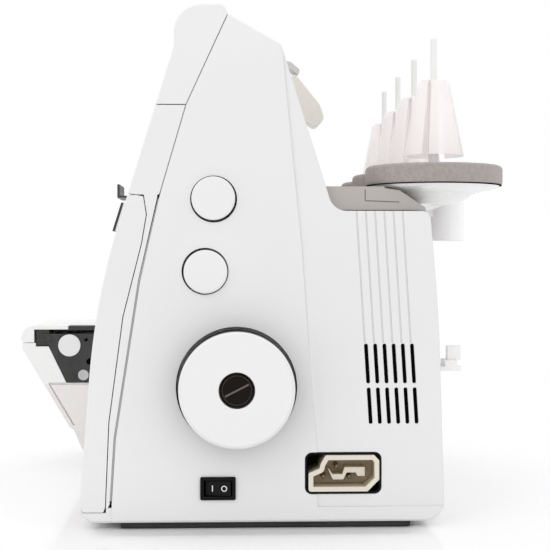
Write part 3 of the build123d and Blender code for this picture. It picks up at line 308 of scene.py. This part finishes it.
# Grey painted shade for the floors of the seams.
seam_shade_grey = plastic("seam_shade_grey", (0.40, 0.40, 0.39), 0.5)
key_cream = plastic("key_cream", (0.74, 0.69, 0.60), 0.5)
dark_grip = dimmed(plastic("grip_dark", (0.05, 0.05, 0.055), 0.5), 0.3)
dial_grey = plastic("dial_grey", (0.62, 0.62, 0.63), 0.4)
bright_steel = steel("bright_steel")
plate_steel = steel("plate_steel", (0.50, 0.50, 0.51), 0.32, (12.0, 1.0, 1.0))
guide_metal = split_plastic("guide_metal", "Z", GUIDE_LIGHT_Z, (0.045, 0.043, 0.046),
                            (0.62, 0.61, 0.60))
dark_plate = cast_metal("dark_plate", (0.075, 0.073, 0.072), 0.5)
casting = cast_metal("casting", (0.45, 0.45, 0.46), 0.5)
motor_paint = cast_metal("motor_paint", (0.05, 0.05, 0.055), 0.45)
brass = steel("brass", (0.62, 0.48, 0.26), 0.3)
dull_brass = steel("dull_brass", (0.26, 0.20, 0.12), 0.5)
foam = foam_material()
cone_milk = milky("cone_milk")
foot_rubber = rubber("foot_rubber", (0.02, 0.02, 0.021))

dress(white, "right_cover", "rear_cover", "left_cover", "top_cover", "front_panel",
      "looper_door", "base_pan")
dress(plate_white, "cloth_plate", "rear_thread_cutter")
dress(bed_white_lit, "bed_housing")
dress(wheel_white_shaded, "handwheel")
dress(white_knob, "stitch_length_knob", "differential_knob", "stitch_width_knob")
dress(dish_white, "spool_dishes", "spool_pins")
dress(stand_grey, "spool_stand")
dress(screw_grey, "pressure_screw")
dress(cream, "presser_lever")
dress(dark_grip, "door_grip")
dress(dark_plate, "bed_side_plate")
dress(plate_steel, "needle_plate", "feed_dogs", "lower_knife", "upper_knife", "presser_foot",
      "presser_ankle")
dress(guide_metal, "thread_guides")
dress(bright_steel, "upper_looper", "lower_looper", "needle_bar", "needles", "presser_bar",
      "presser_spring", "take_up_lever", "tension_posts", "door_hinge_rod", "main_shaft",
      "motor_shaft", "screws")
dress(brass, "shaft_bushes")
dress(dull_brass, "inlet_pins")
dress(cap_brown, "handwheel_hub_cap")
dress(motor_paint, "motor_body")
dress(foot_rubber, "feet", "drive_belt")
dress(casting, "machine_frame")
dress(black, "switch_housing", "inlet_bezel")
dress(black_gloss, "power_rocker")
dress(ivory_shaded_inside, "inlet_socket")
dress(dial_grey, *(f"tension_dial_{number}" for number in range(1, 5)))


# --- mesh helpers -----------------------------------------------------------------
def add_piece(name, mesh_builder, material, body, smooth=True):
    """Makes a mesh with a bmesh function and lets it ride on a CAD body."""
    mesh = bpy.data.meshes.new(name)
    bm = bmesh.new()
    mesh_builder(bm)
    bmesh.ops.recalc_face_normals(bm, faces=bm.faces)
    bm.to_mesh(mesh)
    bm.free()
    piece = bpy.data.objects.new(name, mesh)
    bpy.context.scene.collection.objects.link(piece)
    piece.data.materials.append(material)
    if smooth:
        for face in mesh.polygons:
            face.use_smooth = True
        mesh.set_sharp_from_angle(angle=math.radians(35))
    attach(piece, body)
    return piece


def lathe(bm, profile, centre, axis="Z", steps=96):
    """Turns a closed (radius, height) profile about an axis through centre."""
    rings = []
    for step in range(steps):
        turn = 2 * math.pi * step / steps
        ring = []
        for radius, height in profile:
            a, b = radius * math.cos(turn), radius * math.sin(turn)
            offset = (a, b, height) if axis == "Z" else (height, a, b)
            ring.append(bm.verts.new(Vector(centre) + Vector(offset)))
        rings.append(ring)
    count = len(profile)
    for step in range(steps):
        one, two = rings[step], rings[(step + 1) % steps]
        for index in range(count):
            nxt = (index + 1) % count
            bm.faces.new((one[index], one[nxt], two[nxt], two[index]))


def tube(inner, outer, low, high):
    """Closed section of a thin tube."""
    return [(inner, low), (outer, low), (outer, high), (inner, high)]


def bar(bm, place, size, turn=0.0, axis="X"):
    """A box of a size about a place, turned about one axis."""
    bmesh.ops.create_cube(bm, size=1.0, matrix=Matrix.Translation(place)
                          @ Matrix.Rotation(turn, 4, axis)
                          @ Matrix.Diagonal((*size, 1.0)))


def prism(bm, front, back):
    """Closes two matching rings of vertices into a solid."""
    bm.faces.new(front)
    bm.faces.new(reversed(back))
    for index in range(len(front)):
        nxt = (index + 1) % len(front)
        bm.faces.new((front[index], back[index], back[nxt], front[nxt]))


def mid(low, high):
    """Middle of a box."""
    return (Vector(low) + Vector(high)) / 2


# --- foam pads --------------------------------------------------------------------
def split_spools(name):
    """Centres of the four spools along X, right to left."""
    low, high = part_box(name)
    radius = (high.y - low.y) / 2
    first, last = high.x - radius, low.x + radius
    return [first + (last - first) * k / 3 for k in range(4)], (low.y + high.y) / 2, radius


SPOOLS, SPOOL_Y, FOAM_R = split_spools("foam_pads")
FOAM_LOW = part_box("foam_pads")[0].z
FOAM_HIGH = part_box("foam_pads")[1].z


PIN_HOLE_R = 3.6 * MM
FOAM_EDGE = 2.6 * MM


def foam_profile():
    """Half section of a pad: soft rounded rims and a slightly crowned top."""
    inner, edge = PIN_HOLE_R, FOAM_EDGE
    points = [(inner, FOAM_LOW + 0.3 * MM)]
    for k in range(7):
        turn = math.pi / 2 * (k / 6 - 1)
        points.append((FOAM_R - edge * 0.6 + edge * 0.6 * math.cos(turn),
                       FOAM_LOW + edge + edge * math.sin(turn)))
    for k in range(7):
        turn = math.pi / 2 * k / 6
        points.append((FOAM_R - edge + edge * math.cos(turn),
                       FOAM_HIGH - edge + edge * math.sin(turn)))
    for k in range(1, 9):
        part = k / 9
        points.append((FOAM_R - edge - (FOAM_R - edge - inner) * part,
                       FOAM_HIGH - 0.15 * MM * math.sin(math.pi * part)))
    points.append((inner, FOAM_HIGH - 1.0 * MM))
    return points


def wobble(bm, centre, amount):
    """A little unevenness, as cut foam has."""
    for vert in bm.verts:
        turn = math.atan2(vert.co.y - centre[1], vert.co.x - centre[0])
        wave = math.sin(3 * turn + centre[0] * 40) + 0.6 * math.sin(7 * turn + 1.3)
        shrink = 1 - amount * (0.5 + 0.3 * wave)
        vert.co.x = centre[0] + (vert.co.x - centre[0]) * shrink
        vert.co.y = centre[1] + (vert.co.y - centre[1]) * shrink


def make_foam():
    """Four soft discs in place of the plain CAD pads."""
    pads = []
    for number, x in enumerate(SPOOLS, 1):
        def build(bm, x=x):
            lathe(bm, foam_profile(), (x, SPOOL_Y, 0.0), steps=128)
            wobble(bm, (x, SPOOL_Y), 0.004)
        pad = add_piece(f"foam_pad_{number}", build, foam, "casing")
        pads.append(pad)
    for pad in pads:
        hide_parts("foam_pads")


# --- spool cones ------------------------------------------------------------------
BLADES, BLADE_ARC, BLADE_START = 4, math.radians(76), 0.35
CONE_TOP_R, CONE_LOW_R, CONE_WALL = 8.9 * MM, 17.7 * MM, 0.9 * MM
CONE_DOME = 2.2 * MM
HUB_BORE_R, HUB_R = 2.35 * MM, 3.3 * MM


def cone_blades(bm, x, low, high):
    """A domed cone cut into four blades, over a hub tube that sits on the pin."""
    steps, rows = 14, 14

    def radius_at(height):
        part = (height - low) / (high - low)
        r = CONE_LOW_R + (CONE_TOP_R - CONE_LOW_R) * part
        drop = max(0.0, (height - (high - CONE_DOME)) / CONE_DOME)
        return r - CONE_DOME * (1 - math.sqrt(max(0.0, 1 - drop * drop)))

    for blade in range(BLADES):
        start = 2 * math.pi * blade / BLADES + BLADE_START - BLADE_ARC / 2
        grid = {}
        for side in (0, 1):
            for i in range(steps + 1):
                for j in range(rows + 1):
                    part = j / rows
                    height = low + (high - 0.05 * MM - low) * (1 - (1 - part) ** 1.15)
                    r = radius_at(height) - side * CONE_WALL
                    turn = start + BLADE_ARC * i / steps
                    grid[side, i, j] = bm.verts.new(
                        (x + r * math.cos(turn), SPOOL_Y + r * math.sin(turn), height))
        for i in range(steps):
            for j in range(rows):
                for side in (0, 1):
                    bm.faces.new((grid[side, i, j], grid[side, i + 1, j],
                                  grid[side, i + 1, j + 1], grid[side, i, j + 1]))
        for i in range(steps):
            for j in (0, rows):
                bm.faces.new((grid[0, i, j], grid[0, i + 1, j], grid[1, i + 1, j], grid[1, i, j]))
        for j in range(rows):
            for i in (0, steps):
                bm.faces.new((grid[0, i, j], grid[0, i, j + 1], grid[1, i, j + 1], grid[1, i, j]))
    cap = [(HUB_BORE_R, high - 1.2 * MM), (6.6 * MM, high - 1.2 * MM),
           (7.3 * MM, high - 0.6 * MM), (6.2 * MM, high), (HUB_BORE_R, high)]
    lathe(bm, cap, (x, SPOOL_Y, 0.0), steps=64)
    hub = tube(HUB_BORE_R, HUB_R, low + 1.3 * MM, high - 1.3 * MM)
    lathe(bm, hub, (x, SPOOL_Y, 0.0), steps=48)


def make_cones():
    """Four bladed cones in place of the plain CAD cones."""
    for number in range(1, 5):
        low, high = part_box(f"spool_cone_{number}")
        x = (low.x + high.x) / 2

        def build(bm, x=x, low=low, high=high):
            cone_blades(bm, x, low.z, high.z)
        piece = add_piece(f"cone_blades_{number}", build, cone_milk, f"cone_{number}")
        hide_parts(f"spool_cone_{number}")


# --- painted shade: dark liners of the wells, a dark sheet behind the vents --------
VENT_SHADE_PLACE = (FACE_X - 3.2 * MM, 0.0855, 0.081)
VENT_SHADE_SIZE = (0.6 * MM, 0.040, 0.054)
WELL_DEPTH = 8.6 * MM


def make_shade_liners():
    """Painted shade: dark linings around the knobs and the wheel, and a dark sheet behind the
    vents.
    """
    for name, node, gap in (("length_well", "stitch_length_knob", 1.0 * MM),
                            ("feed_well", "differential_knob", 1.0 * MM),
                            ("wheel_well", "handwheel", 1.8 * MM)):
        low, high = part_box(node)
        centre = mid(low, high)
        radius = (high.y - low.y) / 2

        def build(bm, centre=centre, radius=radius, gap=gap):
            place = (0.0, centre.y, centre.z)
            wall = tube(radius + gap - 0.15 * MM, radius + gap, FACE_X - WELL_DEPTH,
                        FACE_X - 0.25 * MM)
            lathe(bm, wall, place, "X", 128)
        liner = add_piece(name + "_liner", build, gap_shade_black, "casing")

    # A dark sheet behind the vents: painted shade, standing in for the shaded inside of the casing.
    def shade_sheet(bm):
        bar(bm, VENT_SHADE_PLACE, VENT_SHADE_SIZE)
        bmesh.ops.bevel(bm, geom=bm.edges[:], offset=0.1 * MM, segments=1)
    piece = add_piece("vent_shade_sheet", shade_sheet, gap_shade_black, "casing", smooth=False)


def make_foam_shadows():
    """Painted shadow: a dark ring between each pad and its dish."""
    for number, x in enumerate(SPOOLS, 1):
        def build(bm, x=x):
            ring = tube(FOAM_R - 2.2 * MM, FOAM_R - 0.55 * MM, FOAM_LOW - 0.02 * MM,
                        FOAM_LOW + 0.5 * MM)
            lathe(bm, ring, (x, SPOOL_Y, 0.0), steps=96)
        piece = add_piece(f"foam_shadow_{number}", build, gap_shade_black, "casing")


CAP_GROOVE = 1.35 * MM  # depth of the ring groove's floor
CAP_LINE = (0.34 * MM, 14.6 * MM, 1.0 * MM)
CAP_LINE_TURN = math.radians(27.0)


def make_cap_lines():
    """Lighter ring in the hub cap's groove, and a line across its face."""
    low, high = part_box("handwheel_hub_cap")
    centre = mid(low, high)
    groove = high.x - CAP_GROOVE

    def ring(bm):
        lathe(bm, tube(7.75 * MM, 8.25 * MM, groove, groove + 0.6 * MM),
              (0.0, centre.y, centre.z), "X", 96)

    def line(bm):
        bar(bm, (high.x - 0.12 * MM, centre.y, centre.z), CAP_LINE, CAP_LINE_TURN)
    for name, build in (("cap_ring", ring), ("cap_slot_line", line)):
        piece = add_piece(name, build, cap_line, "spindle", smooth=False)


def side_strip(bm, rows, half, x_low, x_high):
    """A thin upright strip that follows (Y, Z) rows down the side."""
    rings = []
    for y, z in rows:
        corners = ((x_low, y - half), (x_high, y - half), (x_high, y + half), (x_low, y + half))
        rings.append([bm.verts.new((x, side, z)) for x, side in corners])
    for one, two in zip(rings, rings[1:]):
        for index in range(4):
            nxt = (index + 1) % 4
            bm.faces.new((one[index], one[nxt], two[nxt], two[index]))
    bm.faces.new(rings[0])
    bm.faces.new(reversed(rings[-1]))


# (Y, Z) rows along the middles of the two seams, in mm
LOWER_ROWS = ((-45.45, 185.0), (-56.45, 139.0), (-70.05, 51.0), (-72.45, 16.0))
UPPER_ROWS = ((-8.3, 284.5), (-30.3, 237.4), (-44.6, 188.6))


def make_seam_floors():
    """Grey floors of the two seams in front of the side cover: painted shade in each seam, lighter
    than a black gap.
    """
    for name, rows, half, depth in (("seam_floor_low", LOWER_ROWS, 0.5, 0.35),
                                    ("seam_floor_high", UPPER_ROWS, 0.17, 0.3)):
        def build(bm, rows=rows, half=half, depth=depth):
            metres = [(y * MM, z * MM) for y, z in rows]
            side_strip(bm, metres, half * MM, FACE_X - 1.5 * MM, FACE_X - depth * MM)
        piece = add_piece(name, build, seam_shade_grey, "casing", smooth=False)


# outline of the key rib's face about the inlet's centre, (Y, Z) in mm
KEY_POINTS = ((1.1, 2.9), (12.5, 2.9), (12.5, -2.2), (8.4, -2.2), (7.3, -0.2), (2.2, -0.2),
              (0.3, -4.1), (-5.6, -4.1), (-8.5, 2.2), (-8.0, 2.2), (-5.8, -1.1), (-0.2, -1.1))


KEY_FRONT, KEY_BACK = FACE_X - 3.7 * MM, FACE_X - 3.98 * MM


def make_key_face():
    """Pale face of the key rib inside the inlet."""
    low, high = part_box("inlet_bezel")
    centre = mid(low, high)

    def build(bm):
        front = [bm.verts.new((KEY_FRONT, centre.y + y * MM, centre.z + z * MM))
                 for y, z in KEY_POINTS]
        back = [bm.verts.new((KEY_BACK, vert.co.y, vert.co.z)) for vert in front]
        prism(bm, front, back)
    piece = add_piece("key_face", build, key_cream, "casing", smooth=False)


# --- marks ------------------------------------------------------------------------
BAR_X, RING_X = 0.14815, 0.14922  # the rocker's two faces lean apart
BAR_LEAN, RING_LEAN = math.radians(12.0), math.radians(-9.5)
BAR_SIZE = (0.3 * MM, 0.5 * MM, 3.4 * MM)


def make_switch_marks():
    """A bar and a ring, in white, on the rocker's face."""
    low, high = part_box("power_rocker")
    centre = mid(low, high)
    white_ink = new_material("white_ink", (0.9, 0.9, 0.9), 0.5)[0]

    def stroke(bm):
        bar(bm, (BAR_X, centre.y - 3.2 * MM, centre.z), BAR_SIZE, BAR_LEAN, "Z")

    def ring(bm):
        section = tube(1.2 * MM, 1.65 * MM, -0.15 * MM, 0.15 * MM)
        lathe(bm, section, (0, 0, 0), "X", 48)
        bmesh.ops.transform(bm, verts=bm.verts, matrix=Matrix.Translation(
            (RING_X, centre.y + 3.4 * MM, centre.z)) @ Matrix.Rotation(RING_LEAN, 4, "Z"))
    for name, build in (("mark_bar", stroke), ("mark_ring", ring)):
        piece = add_piece(name, build, white_ink, "rocker", smooth=False)


# --- stage ------------------------------------------------------------------------
GLOSSY_TO, WHITE_FROM = 0.17, 0.30  # the floor fades to plain white between these radii
AIM = Vector((0.0, 0.0, 0.14))  # point that the lamps face
LAMPS = (
    ("key", (1.1, -0.9, 1.3), 0.9, 2.6),
    ("fill", (1.3, 1.0, 0.9), 0.8, 0.6),
    ("top", (-0.1, 0.0, 1.6), 1.0, 1.6),
)


def make_stage():
    """White glossy floor, white surroundings and soft lamps."""
    material, tree, shader = new_material("floor", (0.95, 0.95, 0.955), 0.10)
    place = tree.nodes.new("ShaderNodeTexCoord")
    reach = tree.nodes.new("ShaderNodeVectorMath")
    reach.operation = "LENGTH"
    span = tree.nodes.new("ShaderNodeMapRange")
    span.inputs["From Min"].default_value = GLOSSY_TO
    span.inputs["From Max"].default_value = WHITE_FROM
    glow = tree.nodes.new("ShaderNodeEmission")
    blend = tree.nodes.new("ShaderNodeMixShader")
    tree.links.new(place.outputs["Object"], reach.inputs[0])
    tree.links.new(reach.outputs["Value"], span.inputs["Value"])
    tree.links.new(span.outputs["Result"], blend.inputs["Fac"])
    tree.links.new(shader.outputs["BSDF"], blend.inputs[1])
    tree.links.new(glow.outputs["Emission"], blend.inputs[2])
    tree.links.new(blend.outputs["Shader"], tree.nodes["Material Output"].inputs["Surface"])
    bpy.ops.mesh.primitive_plane_add(size=20.0, location=(0.0, 0.0, -0.0002))
    floor = bpy.context.object
    floor.name = "floor"
    floor.data.materials.append(material)
    world = bpy.data.worlds.new("world")
    bpy.context.scene.world = world
    world.use_nodes = True
    background = world.node_tree.nodes["Background"]
    background.inputs["Color"].default_value = (1.0, 1.0, 1.0, 1.0)
    background.inputs["Strength"].default_value = 1.0
    for name, place, size, power in LAMPS:
        data = bpy.data.lights.new(name, "AREA")
        data.size = size
        data.energy = power
        lamp = bpy.data.objects.new(name, data)
        lamp.location = place
        lamp.rotation_euler = (AIM - Vector(place)).to_track_quat("-Z", "Y").to_euler()
        bpy.context.scene.collection.objects.link(lamp)
    bpy.context.scene.view_settings.view_transform = "Standard"


make_camera()
make_foam()
make_cones()
make_shade_liners()
make_foam_shadows()
make_cap_lines()
make_seam_floors()
make_key_face()
make_switch_marks()
make_stage()
